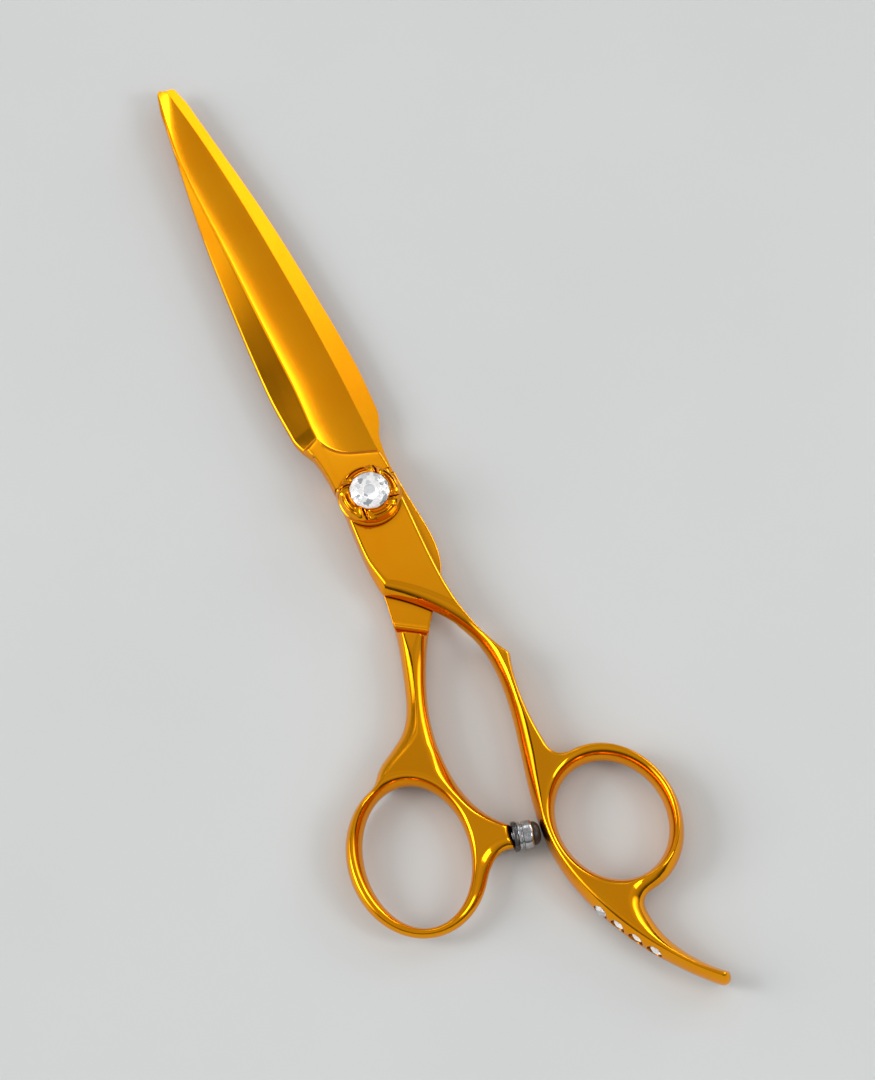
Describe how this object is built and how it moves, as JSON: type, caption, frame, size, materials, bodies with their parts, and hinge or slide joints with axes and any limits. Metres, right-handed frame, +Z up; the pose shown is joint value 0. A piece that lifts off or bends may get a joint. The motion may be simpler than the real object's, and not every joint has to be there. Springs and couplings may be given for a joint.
{
  "type": "hair cutting shears",
  "caption": "Gold hair cutting shears with sword-ground blades, offset handles, a finger tang, a rubber bumper and a crystal-set tension dial.",
  "frame": {"origin": "on the pivot axis at the underside of the pivot head, the plane the closed shears lie on", "axes": "+Z up through the tension dial, +Y from the pivot to the blade tips, +X to the finger ring's side"},
  "size_m": [0.0587, 0.201, 0.0105],
  "materials": {
    "gold_steel": "gold titanium coat on polished steel",
    "gold_dial": "polished gold",
    "bronze": "plain bearing bronze",
    "slip_plastic": "smooth low-friction plastic",
    "spring_steel": "plain spring steel",
    "crystal": "faceted, foil-backed",
    "black_plastic": "gloss",
    "bright_metal": "polished",
    "black_rubber": "smooth"
  },
  "bodies": {
    "finger": {"finger_blade": "gold_steel", "pivot_bush": "bronze", "tang_crystal_1": "crystal", "tang_crystal_2": "crystal", "tang_crystal_3": "crystal", "tang_crystal_4": "crystal"},
    "thumb": {"thumb_blade": "gold_steel", "pivot_post": "gold_steel", "glide_washer": "slip_plastic", "thrust_washer": "slip_plastic", "click_spring": "spring_steel", "bumper_collar": "black_plastic", "bumper_ferrule": "bright_metal", "bumper_cushion": "black_rubber"},
    "dial": {"tension_dial": "gold_dial", "dial_crystal": "crystal"}
  },
  "joints": [
    {"name": "blade_pivot", "type": "hinge", "parent": "finger", "child": "thumb", "pos_m": [0, 0, 0], "axis": [0, 0, -1], "range_deg": [0, 90]},
    {"name": "dial_adjust", "type": "hinge", "parent": "thumb", "child": "dial", "pos_m": [0, 0, 0], "axis": [0, 0, 1], "range_deg": [-180, 180]}
  ]
}
